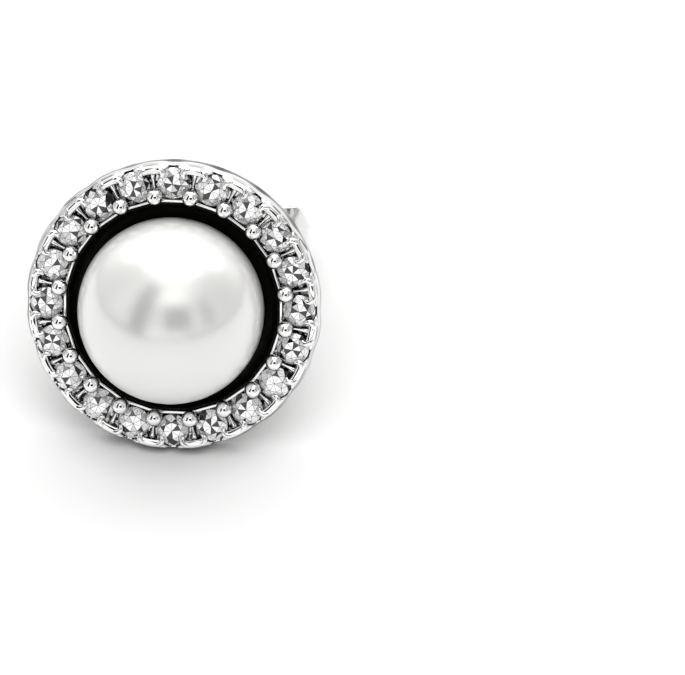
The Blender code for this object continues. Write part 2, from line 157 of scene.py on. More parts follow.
# Clutch
CLUTCH = local_points("butterfly_clutch")
CLUTCH_WIDTH = 2 * max(point.x for point in CLUTCH)
CLUTCH_HEIGHT = 2 * max(point.y for point in CLUTCH)
CLUTCH_FACE = (TO_LOCAL @ MOUNTS["clutch_face"]).z
CLUTCH_DEPTH = CLUTCH_FACE - min(point.z for point in CLUTCH)
SHEET = 0.28
WING_WIDTH = 2.5
SHOULDER_RADIUS = 0.9
HEEL_RADIUS = 1.5
CURL_RADIUS = 1.2
CURL_END_RADIUS = 0.6
CURL_END_QUARTERS = 3.2
SHEET_ROUNDING = 0.06
WING_TAPER = 1.3
HOLE_HALF = 0.55
HOLE_SHARE = 2 * HOLE_HALF / CLUTCH_HEIGHT
PLATE_SHARES = (-1, -0.8, -0.6, -0.42, -0.32, -HOLE_SHARE, 0,
                HOLE_SHARE, 0.32, 0.42, 0.6, 0.8, 1)

# Steps of the curves: for each stone's share of a ring, or round a whole turn
WALL_STEPS = 36
SEAT_RING_STEPS = 12
LINING_STEPS = 16
SEAT_STEPS = 40
BEAD_STEPS = 36
POST_STEPS = 48
PEARL_STEPS = 128

# Painted shade: grey that the polished metal's reflection is given where it is seen edge on, darkening its
# outlines
PAINTED_EDGE_SHADE = 0.10

# The photograph's view
PHOTO_WIDTH = 685
PHOTO_HEIGHT = 675
PIXELS_PER_MM = 23.4
PEARL_PIXEL = (170.8, 310.8)
VIEW_AZIMUTH = math.radians(7.0)
VIEW_ELEVATION = math.radians(38.0)
FLOOR_ALBEDO = 0.385
KEY_IRRADIANCE = 4.9
KEY_ANGLE = math.radians(54.0)
KEY_ELEVATION = math.radians(65.0)
LENS = 600.0
SENSOR = 36.0

# Brightness of the sky: at the horizon, and what the dome and its top add
HORIZON = 0.2
DOME = 0.75
ZENITH = 0.35


def new_material(name):
    """A new material with its node tree and its shader."""
    material = bpy.data.materials.new(name)
    material.use_nodes = True
    return material, material.node_tree, material.node_tree.nodes["Principled BSDF"]


def add_node(tree, kind, **values):
    """A new node. Each value goes to the input of that name, or else to the setting."""
    node = tree.nodes.new(kind)
    for name, value in values.items():
        if name in node.inputs:
            node.inputs[name].default_value = value
        else:
            setattr(node, name, value)
    return node


def noise_at(tree, scale, detail=3.0):
    """Noise in the piece's own metres, so its scale is in waves to a metre."""
    place = add_node(tree, "ShaderNodeTexCoord")
    grain = add_node(tree, "ShaderNodeTexNoise", Scale=scale, Detail=detail)
    tree.links.new(place.outputs["Object"], grain.inputs["Vector"])
    return grain.outputs["Fac"]


def ramp_between(tree, source, low, high, start=0.0, end=1.0):
    """A number socket turned from the range start to end into another range."""
    spread = add_node(tree, "ShaderNodeMapRange")
    spread.inputs["From Min"].default_value = start
    spread.inputs["From Max"].default_value = end
    spread.inputs["To Min"].default_value = low
    spread.inputs["To Max"].default_value = high
    tree.links.new(source, spread.inputs["Value"])
    return spread.outputs["Result"]


def colour_between(tree, source, low, high):
    """A number socket turned into a colour from low to high."""
    blend = add_node(tree, "ShaderNodeMix", data_type='RGBA')
    colours = [socket for socket in blend.inputs if socket.type == 'RGBA']
    colours[0].default_value = (*low, 1.0)
    colours[1].default_value = (*high, 1.0)
    tree.links.new(source, blend.inputs["Factor"])
    return [socket for socket in blend.outputs if socket.type == 'RGBA'][0]


def bump_from(tree, shader, source, distance):
    """Relief of the shader's surface, its height in metres."""
    bump = add_node(tree, "ShaderNodeBump")
    bump.inputs["Strength"].default_value = 1.0
    bump.inputs["Distance"].default_value = distance
    tree.links.new(source, bump.inputs["Height"])
    tree.links.new(bump.outputs["Normal"], shader.inputs["Normal"])


def polished_metal():
    """Rhodium plate: a bright mirror with faint polishing marks."""
    material, tree, shader = new_material("rhodium_metal")
    shader.inputs["Metallic"].default_value = 1.0
    grain = noise_at(tree, 5200.0)
    tree.links.new(ramp_between(tree, grain, 0.015, 0.05), shader.inputs["Roughness"])
    cloud = noise_at(tree, 900.0)
    tone = colour_between(tree, cloud, (0.90, 0.90, 0.905), (0.97, 0.968, 0.962))
    tree.links.new(tone, shader.inputs["Base Color"])
    # Painted shade: the reflection turns grey where the metal is seen edge on.
    shader.inputs["Specular Tint"].default_value = (*[PAINTED_EDGE_SHADE] * 3, 1.0)
    bump_from(tree, shader, noise_at(tree, 2600.0, 2.0), 0.0000012)
    return material


def pocket_shade_metal():
    """Painted shade: the same metal deep between the stones, its colour near black in random patches between
    bright cuts, for the shade in the pockets.
    """
    material, tree, shader = new_material("pocket_shade_metal")
    shader.inputs["Metallic"].default_value = 1.0
    tree.links.new(
        ramp_between(tree, noise_at(tree, 3800.0), 0.18, 0.34), shader.inputs["Roughness"])
    # Painted shade: near-black patches in the colour stand for the shade deep between the stones.
    shade_patches = ramp_between(tree, noise_at(tree, 5600.0, 1.0), 0.0, 1.0, 0.47, 0.54)
    tone = colour_between(tree, shade_patches, (0.02, 0.02, 0.02), (0.90, 0.89, 0.88))
    tree.links.new(tone, shader.inputs["Base Color"])
    return material


def satin_shaded_metal():
    """Clutch sheet: the same plate with fine rolling lines, rougher, and darker by painted shade in its colour."""
    material, tree, shader = new_material("clutch_shaded_metal")
    shader.inputs["Metallic"].default_value = 1.0
    grain = noise_at(tree, 3800.0)
    tree.links.new(ramp_between(tree, grain, 0.12, 0.26), shader.inputs["Roughness"])
    # Painted shade: the colour is darker than the plate's, for the shade the clutch sits in behind the halo.
    tone = colour_between(tree, noise_at(tree, 500.0), (0.74, 0.75, 0.73), (0.83, 0.835, 0.82))
    tree.links.new(tone, shader.inputs["Base Color"])
    bump_from(tree, shader, noise_at(tree, 5200.0), 0.0000015)
    return material


def black_lining():
    """Black lining of the well: a deep gloss with a faint cloudy sheen."""
    material, tree, shader = new_material("black_enamel")
    cloud = noise_at(tree, 700.0)
    tone = colour_between(tree, cloud, (0.0015, 0.0014, 0.0012), (0.006, 0.005, 0.004))
    tree.links.new(tone, shader.inputs["Base Color"])
    tree.links.new(ramp_between(tree, cloud, 0.30, 0.42), shader.inputs["Roughness"])
    shader.inputs["Specular IOR Level"].default_value = 0.12
    return material


def nacre():
    """Pearl: cloudy ivory layers under a soft clear lustre."""
    material, tree, shader = new_material("pearl_nacre")
    cloud = noise_at(tree, 260.0, 4.0)
    tone = colour_between(tree, cloud, (0.84, 0.84, 0.825), (0.89, 0.885, 0.87))
    tree.links.new(tone, shader.inputs["Base Color"])
    shader.inputs["Metallic"].default_value = 0.45
    shader.inputs["Roughness"].default_value = 0.30
    shader.inputs["Coat Weight"].default_value = 0.7
    shader.inputs["Coat IOR"].default_value = 1.5
    shader.inputs["Coat Roughness"].default_value = 0.16
    bump_from(tree, shader, noise_at(tree, 1500.0, 3.0), 0.000002)
    return material


def crystal():
    """Cut crystal with painted reflections: each facet's colour is a painted light or dark reflection, set by its
    tone.
    """
    material, tree, shader = new_material("cut_crystal")
    shader.inputs["Metallic"].default_value = 0.5
    shader.inputs["Coat Weight"].default_value = 1.0
    shader.inputs["Coat IOR"].default_value = 1.5
    shader.inputs["Coat Roughness"].default_value = 0.02
    tree.links.new(
        ramp_between(tree, noise_at(tree, 4000.0), 0.02, 0.05), shader.inputs["Roughness"])
    # Painted reflection: the facet's tone picks its colour from near black to white.
    tone = add_node(tree, "ShaderNodeAttribute", attribute_name="painted_reflection_tone")
    shade = colour_between(tree, tone.outputs["Fac"], (0.01, 0.01, 0.011), (0.97, 0.97, 0.98))
    tree.links.new(shade, shader.inputs["Base Color"])
    return material


METAL = polished_metal()
# Metal with painted shade for the pockets between the stones
POCKET_SHADE = pocket_shade_metal()
# Clutch metal, darker by painted shade
CLUTCH_SHADED_METAL = satin_shaded_metal()
ENAMEL = black_lining()
NACRE = nacre()
CRYSTAL = crystal()


def mesh_of(name, shape, smooth=True, sharp=None):
    """Mesh in place, from a shape in the earring's own millimetres."""
    bmesh.ops.recalc_face_normals(shape, faces=shape.faces)
    mesh = bpy.data.meshes.new(name)
    shape.to_mesh(mesh)
    shape.free()
    mesh.transform(EARRING)
    if smooth:
        mesh.shade_smooth()
        if sharp:
            mesh.set_sharp_from_angle(angle=math.radians(sharp))
    return mesh


def add_piece(name, mesh, material, body, *replaced):
    """An object that rides on a body and stands for the named nodes."""
    piece = bpy.data.objects.new(name, mesh)
    bpy.context.scene.collection.objects.link(piece)
    mesh.materials.append(material)
    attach(piece, body)
    if replaced:
        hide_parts(*replaced)
    return piece


def around(half_turn=False):
    """Turns that bring +X to each stone, or halfway between it and the next one."""
    start = FIRST_ANGLE - (PITCH / 2 if half_turn else 0.0)
    return [Matrix.Rotation(start - index * PITCH, 4, 'Z') for index in range(STONE_COUNT)]


def skin_rows(shape, rows, close_rows=False, close_ends=False, caps=False):
    """Quads between rows of points. Rows may close on themselves and on each other."""
    grid = [[shape.verts.new(point) for point in row] for row in rows]
    pairs = list(zip(grid, grid[1:]))
    if close_ends:
        pairs.append((grid[-1], grid[0]))
    for here, there in pairs:
        count = len(here)
        for index in range(count if close_rows else count - 1):
            after = (index + 1) % count
            shape.faces.new((here[index], here[after], there[after], there[index]))
    if caps:
        shape.faces.new(grid[0])
        shape.faces.new(list(reversed(grid[-1])))
    return grid


def copy_around(unit, turns):
    """One shape holding a turned copy of the unit for each turn. The unit is freed."""
    mesh = bpy.data.meshes.new("unit")
    unit.to_mesh(mesh)
    unit.free()
    whole = bmesh.new()
    for turn in turns:
        first = len(whole.verts)
        whole.from_mesh(mesh)
        whole.verts.ensure_lookup_table()
        bmesh.ops.transform(whole, matrix=turn, verts=whole.verts[first:])
    bpy.data.meshes.remove(mesh)
    return whole


def turned_shape(profile, steps):
    """Surface of (radius, height) points turned about Z, closed where it meets the axis."""
    rows = []
    for index in range(steps):
        angle = 2 * math.pi * index / steps
        row = [(r * math.cos(angle), r * math.sin(angle), z) for r, z in profile]
        rows.append(row)
    shape = bmesh.new()
    skin_rows(shape, rows, close_ends=True)
    bmesh.ops.remove_doubles(shape, verts=shape.verts, dist=0.0005)
    return shape


def swept(shape, route, up, steps=14):
    """Closed tube with round ends along a route of (point, half width, half height)."""
    rows = []
    ends = (0.25, 0.6, 0.85)
    points = [Vector(point) for point, _, _ in route]
    for index, (point, wide, high) in enumerate(route):
        before = points[max(0, index - 1)]
        after = points[min(len(points) - 1, index + 1)]
        along = (after - before).normalized()
        side = along.cross(up).normalized()
        rise = side.cross(along)
        ring = []
        for step in range(steps):
            angle = 2 * math.pi * step / steps
            ring.append((side * wide * math.cos(angle), rise * high * math.sin(angle)))
        center = Vector(point)
        if index in (0, len(route) - 1):
            out = -along if index == 0 else along
            caps = []
            for share in ends:
                push = out * math.sqrt(1 - share ** 2) * min(wide, high)
                caps.append([center + push + (a + b) * share for a, b in ring])
            full = [center + a + b for a, b in ring]
            rows += caps + [full] if index == 0 else [full] + caps[::-1]
        else:
            rows.append([center + a + b for a, b in ring])
    skin_rows(shape, rows, close_rows=True, caps=True)


def eased(share):
    """A share from 0 to 1 with a smooth start and end."""
    share = min(1.0, max(0.0, share))
    return share * share * (3 - 2 * share)


def wall_column(angle):
    """Profile of the outer wall at an angle: pocket, crest, outer face, skirt, back."""
    phase = (angle - FIRST_ANGLE) / PITCH
    off_stone = abs(phase - round(phase)) * PITCH * BRACKET_OUTER
    notch = (off_stone - NOTCH_FLOOR_WIDTH / 2) * 2 / (NOTCH_TOP_WIDTH - NOTCH_FLOOR_WIDTH)
    rise = min(1.0, max(0.0, notch))
    top = NOTCH_FLOOR + (BRACKET_TOP - NOTCH_FLOOR) * math.sin(rise * math.pi / 2) ** 0.7
    to_middle = off_stone / (PITCH * BRACKET_OUTER / 2)
    top -= 0.05 * rise * (1 - eased(to_middle))
    dip = LOBE_DEPTH * abs(math.cos(phase * math.pi)) ** 4
    outer = BRACKET_OUTER - dip
    skirt = SKIRT_RADIUS - dip
    reach = math.sqrt(max(0.0, SEAT_RADIUS ** 2 - off_stone ** 2))
    lip = eased((to_middle - 0.35) / 0.4)
    inner = max(BRACKET_INNER - 0.05 + 0.11 * lip, STONE_RING_RADIUS + reach)
    under = inner + 0.10 * lip
    crest = outer - inner
    column = [(under, RIB_TOP - 0.35), (under, top - 0.22), (inner + 0.02 * lip, top - 0.16)]
    for share in (0.04, 0.12, 0.24, 0.37, 0.5, 0.63, 0.76, 0.88):
        bend = math.pi * share
        across = inner + crest * (0.5 - 0.5 * math.cos(bend))
        fall = CREST_INNER_FALL if share < 0.5 else CREST_OUTER_FALL
        column.append((across, top - fall * (1 - math.sin(bend))))
    column += [
        (outer, top - 0.26 - 0.06 * rise),
        (outer + 0.005, GIRDLE_LEVEL - 0.04 * rise),
        (outer + 0.015, GIRDLE_LEVEL - 0.13),
        (skirt - 0.03, SKIRT_LEVEL + 0.10),
        (skirt - 0.005, SKIRT_LEVEL + 0.03),
        (skirt, SKIRT_LEVEL - 0.05),
        (skirt - 0.03, 0.80 * SKIRT_LEVEL),
        (BACK_EDGE_RADIUS + 0.07, 0.18),
        (BACK_EDGE_RADIUS + 0.02, 0.05),
        (BACK_EDGE_RADIUS - 0.03, 0.01),
        (BACK_EDGE_RADIUS - 0.10, 0.0),
        (BACK_EDGE_RADIUS - 0.9, 0.0),
        (BACK_EDGE_RADIUS - 1.0, 0.03),
        (BACK_EDGE_RADIUS - 1.2, 0.03),
        (POST_RADIUS + 0.35, 0.03),
        (POST_RADIUS + 0.20, 0.0),
        (POST_RADIUS + 0.05, -0.12),
        (POST_RADIUS, -0.28),
    ]
    return column


def halo_shell():
    """Outer wall with its brackets and notches, the skirt and the back plate."""
    columns = STONE_COUNT * WALL_STEPS
    rows = []
    for index in range(columns):
        angle = FIRST_ANGLE + 2 * math.pi * index / columns
        spots = wall_column(angle)
        rows.append([(r * math.cos(angle), r * math.sin(angle), z) for r, z in spots])
    shape = bmesh.new()
    skin_rows(shape, rows, close_ends=True)
    add_piece("halo_shell", mesh_of("halo_shell", shape), METAL, "stud", "halo_setting")


def seat_ring():
    """Ring under the stones, with a conical seat bored for each."""
    profile = [
        (WELL_RADIUS + 0.02, 0.35),
        (WELL_RADIUS + 0.02, BAR_TOP - 0.06),
        (WELL_RADIUS + BAR_WALL - 0.01, BAR_TOP - 0.06),
        (WELL_RADIUS + BAR_WALL - 0.01, POCKET_FLOOR),
        (BRACKET_INNER + 0.25, POCKET_FLOOR),
        (BRACKET_INNER + 0.25, 0.35),
    ]
    blank = turned_shape(profile + profile[:1], STONE_COUNT * SEAT_RING_STEPS)
    cutter = turned_shape([
        (0.0, PAVILION_DEPTH),
        (SEAT_RADIUS, PAVILION_DEPTH),
        (SEAT_RADIUS, -FIT_GAP),
        (0.05, -PAVILION_DEPTH - FIT_GAP),
        (0.0, -PAVILION_DEPTH - FIT_GAP),
    ], SEAT_STEPS)
    bmesh.ops.translate(
        cutter, vec=(STONE_RING_RADIUS, 0.0, GIRDLE_LEVEL), verts=cutter.verts)
    seats = copy_around(cutter, around())
    # The ring under the stones carries the painted shade of the pockets in its colour.
    ring = add_piece(
        "seat_ring", mesh_of("seat_ring", blank, smooth=False), POCKET_SHADE, "stud", "halo_setting")
    tool_mesh = mesh_of("seat_cutters", seats, smooth=False)
    tool = bpy.data.objects.new("seat_cutters", tool_mesh)
    bpy.context.scene.collection.objects.link(tool)
    cut = ring.modifiers.new("seats", 'BOOLEAN')
    cut.operation = 'DIFFERENCE'
    cut.solver = 'EXACT'
    cut.object = tool
    bpy.context.view_layer.update()
    graph = bpy.context.evaluated_depsgraph_get()
    done = bpy.data.meshes.new_from_object(ring.evaluated_get(graph))
    ring.modifiers.clear()
    ring.data = done
    bpy.data.objects.remove(tool)
    done.shade_smooth()
    done.set_sharp_from_angle(angle=math.radians(32))


def well_bars():
    """Thin bright bars along the well, with their ends turned up beside the beads."""
    half = (WELL_RADIUS + BAR_WALL / 2) * math.tan(PITCH / 2) - BAR_END_GAP
    outside = WELL_RADIUS + BAR_WALL
    unit = bmesh.new()
    rows = []
    count = 12
    for index in range(count + 1):
        share = 2 * index / count - 1
        along = half * share
        top = BAR_TOP + BAR_END_LIFT * abs(share) ** 3
        section = [
            (WELL_RADIUS + 0.012, LINING_TOP - 0.12),
            (WELL_RADIUS, LINING_TOP - 0.06),
            (WELL_RADIUS, top - 0.03),
            (WELL_RADIUS + 0.010, top - 0.008),
            (WELL_RADIUS + 0.030, top),
            (outside - 0.030, top),
            (outside - 0.008, top - 0.010),
            (outside, top - 0.035),
            (outside, RIB_TOP - 0.1),
        ]
        rows.append([(r, along, z) for r, z in section])
    skin_rows(unit, rows, close_rows=True, caps=True)
    shape = copy_around(unit, around())
    add_piece("well_bars", mesh_of("well_bars", shape, sharp=50), METAL, "stud", "halo_setting")


def bead_prongs():
    """Polished bead on a short round stem, between each two stones."""
    neck = BEAD_NECK
    low = -math.acos(neck / BEAD_RADIUS)
    rings = 20
    profile = []
    for index in range(rings + 1):
        angle = math.pi / 2 + (low - math.pi / 2) * index / rings
        across = BEAD_RADIUS * math.cos(angle)
        profile.append((max(0.0, across), BEAD_LEVEL + BEAD_RADIUS * math.sin(angle)))
    profile += [(neck - 0.01, RIB_TOP + 0.05), (neck + 0.03, RIB_TOP - 0.02), (neck, 0.8)]
    unit = turned_shape(profile, BEAD_STEPS)
    bmesh.ops.translate(unit, vec=(BEAD_RING_RADIUS, 0.0, 0.0), verts=unit.verts)
    shape = copy_around(unit, around(half_turn=True))
    add_piece("bead_prongs", mesh_of("bead_prongs", shape), METAL, "stud", "halo_setting")


def claws():
    """Two claws at each bracket's ends, which bend in and down over the stones."""
    up = Vector((0.0, 0.0, 1.0))
    claw_table = (
        # radius, sideways, height, half width, half height
        (BRACKET_INNER + 0.26, 0.28, GIRDLE_LEVEL + 0.18, 0.13, 0.13),
        (BRACKET_INNER + 0.23, 0.38, GIRDLE_LEVEL + 0.20, 0.14, 0.13),
        (BRACKET_INNER + 0.15, 0.46, GIRDLE_LEVEL + 0.22, 0.14, 0.125),
        (BRACKET_INNER + 0.05, 0.495, GIRDLE_LEVEL + 0.23, 0.125, 0.115),
        (BRACKET_INNER - 0.04, 0.475, GIRDLE_LEVEL + 0.23, 0.105, 0.10),
        (BRACKET_INNER - 0.10, 0.42, GIRDLE_LEVEL + 0.21, 0.085, 0.08),
    )
    unit = bmesh.new()
    for hand in (-1, 1):
        route = []
        for radius, aside, height, wide, high in claw_table:
            route.append(((radius, hand * aside, height), wide, high))
        swept(unit, route, up)
    shape = copy_around(unit, around(half_turn=True))
    add_piece("claws", mesh_of("claws", shape), METAL, "stud", "halo_setting")


def ribs():
    """Rounded rib between each two stones, from the bead out to the bracket."""
    up = Vector((0.0, 0.0, 1.0))
    rib_table = (
        # radius, height, half width, half height
        (BEAD_RING_RADIUS + 0.15, RIB_TOP, 0.085, 0.10),
        (STONE_RING_RADIUS - 0.05, RIB_TOP, 0.060, 0.10),
        (STONE_RING_RADIUS + 0.12, RIB_TOP, 0.075, 0.10),
        (STONE_RING_RADIUS + 0.26, RIB_TOP + 0.01, 0.11, 0.10),
        (BRACKET_INNER + 0.04, RIB_TOP + 0.02, 0.15, 0.10),
    )
    unit = bmesh.new()
    route = [((radius, 0.0, height), wide, high) for radius, height, wide, high in rib_table]
    swept(unit, route, up)
    shape = copy_around(unit, around(half_turn=True))
    add_piece("ribs", mesh_of("ribs", shape), METAL, "stud", "halo_setting")


def post():
    """Ear post with its groove and blunt tip, and the peg under the pearl."""
    end = -POST_LENGTH
    groove = end + GROOVE_SETBACK
    neck = POST_RADIUS - GROOVE_DEPTH
    profile = [
        (0.0, 0.3),
        (POST_RADIUS, 0.3),
        (POST_RADIUS, groove + GROOVE_WIDTH + 0.04),
        (POST_RADIUS - 0.012, groove + GROOVE_WIDTH),
        (neck + 0.012, groove + 0.72 * GROOVE_WIDTH),
        (neck, groove + 0.62 * GROOVE_WIDTH),
        (neck, groove + 0.38 * GROOVE_WIDTH),
        (neck + 0.012, groove + 0.28 * GROOVE_WIDTH),
        (POST_RADIUS - 0.012, groove),
        (POST_RADIUS, groove - 0.04),
        (POST_RADIUS, end + POST_TIP_BEVEL + 0.03),
        (POST_RADIUS - 0.02, end + POST_TIP_BEVEL - 0.03),
        (POST_RADIUS - POST_TIP_BEVEL + 0.04, end + 0.02),
        (POST_RADIUS - POST_TIP_BEVEL - 0.03, end),
        (0.0, end),
    ]
    shape = turned_shape(profile, POST_STEPS)
    add_piece("ear_post", mesh_of("ear_post", shape, sharp=40), METAL, "stud", "halo_setting")


def well_lining():
    """Black lining of the well: flat walls between the beads and a rounded floor."""
    count = STONE_COUNT * LINING_STEPS
    floor_level = PEARL_SEAT + 0.18
    inner = PEARL_RADIUS - 0.10
    rows = []
    for index in range(count):
        angle = FIRST_ANGLE + 2 * math.pi * index / count
        phase = (angle - FIRST_ANGLE) / PITCH
        off = (phase - round(phase)) * PITCH
        wall = LINING_RADIUS * (1 / math.cos(off))
        spots = [
            (wall, PEARL_SEAT),
            (wall, LINING_TOP - 0.02),
            (wall - 0.02, LINING_TOP),
            (wall - 0.06, LINING_TOP),
            (wall - 0.09, LINING_TOP - 0.03),
            (wall - 0.10, floor_level + 0.38),
            (wall - 0.15, floor_level + 0.20),
            (wall - 0.28, floor_level + 0.07),
            (LINING_RADIUS - 0.42, floor_level + 0.02),
            (inner, floor_level),
            (inner - 0.25, floor_level - 0.12),
        ]
        rows.append([(r * math.cos(angle), r * math.sin(angle), z) for r, z in spots])
    shape = bmesh.new()
    skin_rows(shape, rows, close_rows=True, close_ends=True)
    mesh = mesh_of("well_lining", shape, sharp=60)
    add_piece("well_lining", mesh, ENAMEL, "stud", "black_well_ring")


def pearl():
    """Button pearl, not quite even, with the flat drilled back it is glued by."""
    rings = 90
    low = math.asin((PEARL_SEAT - PEARL_LEVEL) / PEARL_RADIUS)
    profile = []
    for index in range(rings + 1):
        angle = math.pi / 2 + (low - math.pi / 2) * index / rings
        across = max(0.0, PEARL_RADIUS * math.cos(angle))
        profile.append((across, PEARL_LEVEL + PEARL_RADIUS * math.sin(angle)))
    profile += [
        (DRILL_RADIUS + 0.03, PEARL_SEAT),
        (DRILL_RADIUS, PEARL_SEAT + 0.05),
        (DRILL_RADIUS, PEARL_SEAT + DRILL_DEPTH),
    ]
    shape = turned_shape(profile, PEARL_STEPS)
    middle = Vector((0.0, 0.0, PEARL_LEVEL))
    for vertex in shape.verts:
        if vertex.co.z > PEARL_SEAT + 0.4:
            ray = vertex.co - middle
            ripple = noise.noise(ray * RIPPLE_SCALE)
            vertex.co -= ray.normalized() * RIPPLE_DEPTH * (1 + ripple) / 2
    add_piece("pearl_bead", mesh_of("pearl_bead", shape, sharp=60), NACRE, "stud", "pearl")


def heading_of(face):
    """Angle about Z of a face's middle."""
    middle = face.calc_center_median()
    return math.atan2(middle.y, middle.x)


def brilliant(turn, chance):
    """Round brilliant about Z with its girdle at zero, with a painted reflection tone and a painted dark rim on
    each facet.
    """
    kite_radius = TABLE_RADIUS + 0.55 * (STONE_RADIUS - TABLE_RADIUS)
    lower_radius = 0.24 * STONE_RADIUS
    half_step = math.pi / 8
    spread = STONE_RADIUS - TABLE_RADIUS
    kite_share = (STONE_RADIUS - kite_radius * math.cos(half_step)) / spread
    lower_share = 1 - lower_radius * math.cos(half_step) / STONE_RADIUS
    rings = (
        # corners, first angle, radius, height
        (8, 0.0, TABLE_RADIUS, GIRDLE_THICKNESS + CROWN_HEIGHT),
        (8, half_step, kite_radius, GIRDLE_THICKNESS + CROWN_HEIGHT * kite_share),
        (16, 0.0, STONE_RADIUS, GIRDLE_THICKNESS),
        (16, 0.0, STONE_RADIUS, 0.0),
        (8, half_step, lower_radius, -PAVILION_DEPTH * lower_share),
        (1, 0.0, 0.0, -PAVILION_DEPTH),
    )
    shape = bmesh.new()
    for count, start, radius, height in rings:
        for index in range(count):
            angle = turn + start + 2 * math.pi * index / count
            shape.verts.new((radius * math.cos(angle), radius * math.sin(angle), height))
    bmesh.ops.convex_hull(shape, input=shape.verts)
    bmesh.ops.recalc_face_normals(shape, faces=shape.faces)
    table = [face for face in shape.faces if face.normal.z > TABLE_FACING]
    table = bmesh.ops.dissolve_faces(shape, faces=table)["region"]
    bmesh.ops.poke(shape, faces=table)
    reflection_tone_layer = shape.faces.layers.float.new("painted_reflection_tone")
    facets = [face for face in shape.faces if face.normal.z > CROWN_FACING]
    for face in shape.faces:
        face[reflection_tone_layer] = 0.5
    before = 1.0
    for face in sorted(facets, key=lambda face: round(heading_of(face), 4)):
        if face.normal.z > TABLE_FACING:
            face[reflection_tone_layer] = chance.choice(WEDGE_REFLECTION_TONES) if before > 0.5 else 1.0
            before = face[reflection_tone_layer]
        else:
            face[reflection_tone_layer] = chance.choice(CROWN_REFLECTION_TONES)
    # Painted dark reflection: a thin rim round each facet.
    painted_rims = bmesh.ops.inset_individual(shape, faces=facets, thickness=PAINTED_RIM_WIDTH)["faces"]
    for face in painted_rims:
        face[reflection_tone_layer] = 0.0
    return shape


def stones():
    """A brilliant in each seat, each turned its own way."""
    chance = random.Random(STONE_SEED)
    for name in STONE_NAMES:
        center = middle_of(local_points(name))
        turn = chance.uniform(0.0, math.pi / 4)
        shape = brilliant(turn, chance)
        place = Vector((center.x, center.y, GIRDLE_LEVEL))
        bmesh.ops.translate(shape, vec=place, verts=shape.verts)
        mesh = mesh_of(f"brilliant_{name[-2:]}", shape, smooth=False)
        add_piece(f"brilliant_{name[-2:]}", mesh, CRYSTAL, "stud", name)


def arc(center, radius, start, end, count):
    """Points on an arc, its ends included."""
    points = []
    for index in range(count + 1):
        angle = start + (end - start) * index / count
        across = center[0] + radius * math.cos(angle)
        points.append((across, center[1] + radius * math.sin(angle)))
    return points


def wing_route():
    """Middle line of one wing as (across, depth), from the post hole outward."""
    post_side = POST_RADIUS + FIT_GAP + SHEET / 2
    outer = (CLUTCH_WIDTH - SHEET) / 2
    back = CLUTCH_DEPTH - SHEET
    quarter = math.pi / 2
    shoulder = (outer - SHOULDER_RADIUS, -SHOULDER_RADIUS)
    heel = (outer - HEEL_RADIUS, HEEL_RADIUS - back)
    curl = (post_side + CURL_RADIUS, CURL_RADIUS - back)
    curl_end = (post_side + CURL_END_RADIUS, CURL_RADIUS - back)
    route = [(0.75, 0.0), (1.5, 0.0), (2.3, 0.0), (3.0, 0.0)]
    route += arc(shoulder, SHOULDER_RADIUS, quarter, 0.0, 14)
    route += arc(heel, HEEL_RADIUS, 0.0, -quarter, 18)
    route += arc(curl, CURL_RADIUS, -quarter, -2 * quarter, 12)
    route += arc(curl_end, CURL_END_RADIUS, -2 * quarter, -CURL_END_QUARTERS * quarter, 12)[1:]
    return [(across, -level) for across, level in route]


def clutch():
    """Butterfly clutch: a plate with a collar round its hole, and two rolled wings."""
    route = wing_route()
    plate_half = CLUTCH_HEIGHT / 2
    wing_half = WING_WIDTH / 2
    taper_start = (CLUTCH_WIDTH - SHEET) / 2 - SHOULDER_RADIUS / 2
    shape = bmesh.new()
    for hand in (-1, 1):
        rows = []
        run = route[0][0]
        before = route[0]
        for here in route:
            run += math.dist(before, here)
            before = here
            half = plate_half + (wing_half - plate_half) * eased((run - taper_start) / WING_TAPER)
            across, depth = here
            row = []
            for share in PLATE_SHARES:
                row.append((hand * across, half * share, CLUTCH_FACE - depth - SHEET / 2))
            rows.append(row)
        skin_rows(shape, rows)
    middle_rows = []
    for across in (-0.75, -0.65, -HOLE_HALF, HOLE_HALF, 0.65, 0.75):
        row = []
        for share in PLATE_SHARES:
            row.append((across, plate_half * share, CLUTCH_FACE - SHEET / 2))
        middle_rows.append(row)
    skin_rows(shape, middle_rows)
    hole = []
    for face in shape.faces:
        spot = face.calc_center_median()
        if max(abs(spot.x), abs(spot.y)) < HOLE_HALF and spot.z > CLUTCH_FACE - SHEET:
            hole.append(face)
    bmesh.ops.delete(shape, geom=hole, context='FACES')
    bmesh.ops.remove_doubles(shape, verts=shape.verts, dist=0.002)
    mesh = mesh_of("clutch_sheet", shape)
    sheet = add_piece("clutch_sheet", mesh, CLUTCH_SHADED_METAL, "clutch", "butterfly_clutch")
    solid = sheet.modifiers.new("sheet", 'SOLIDIFY')
    solid.thickness = SHEET * MM
    solid.offset = 0.0
    solid.use_even_offset = True
    rounded = sheet.modifiers.new("rounded", 'BEVEL')
    rounded.width = SHEET_ROUNDING * MM
    rounded.segments = 3
    rounded.limit_method = 'ANGLE'
    rounded.angle_limit = math.radians(50)
    collar = [
        (POST_RADIUS + FIT_GAP, -SHEET),
        (POST_RADIUS + FIT_GAP, -0.03),
        (POST_RADIUS + 0.07, 0.0),
        (POST_RADIUS + 0.20, 0.0),
        (POST_RADIUS + 0.30, -0.04),
        (POST_RADIUS + 0.36, -0.12),
        (POST_RADIUS + 0.36, -SHEET),
        (POST_RADIUS + FIT_GAP, -SHEET),
    ]
    ring = turned_shape([(r, CLUTCH_FACE + z) for r, z in collar], POST_STEPS)
    mesh = mesh_of("clutch_collar", ring, sharp=50)
    add_piece("clutch_collar", mesh, CLUTCH_SHADED_METAL, "clutch", "butterfly_clutch")


def heading(azimuth, elevation):
    """World direction from the earring. Azimuth zero is straight out in front."""
    level = math.cos(elevation)
    across = math.sin(azimuth) * level
    return Vector((across, -math.cos(azimuth) * level, math.sin(elevation)))


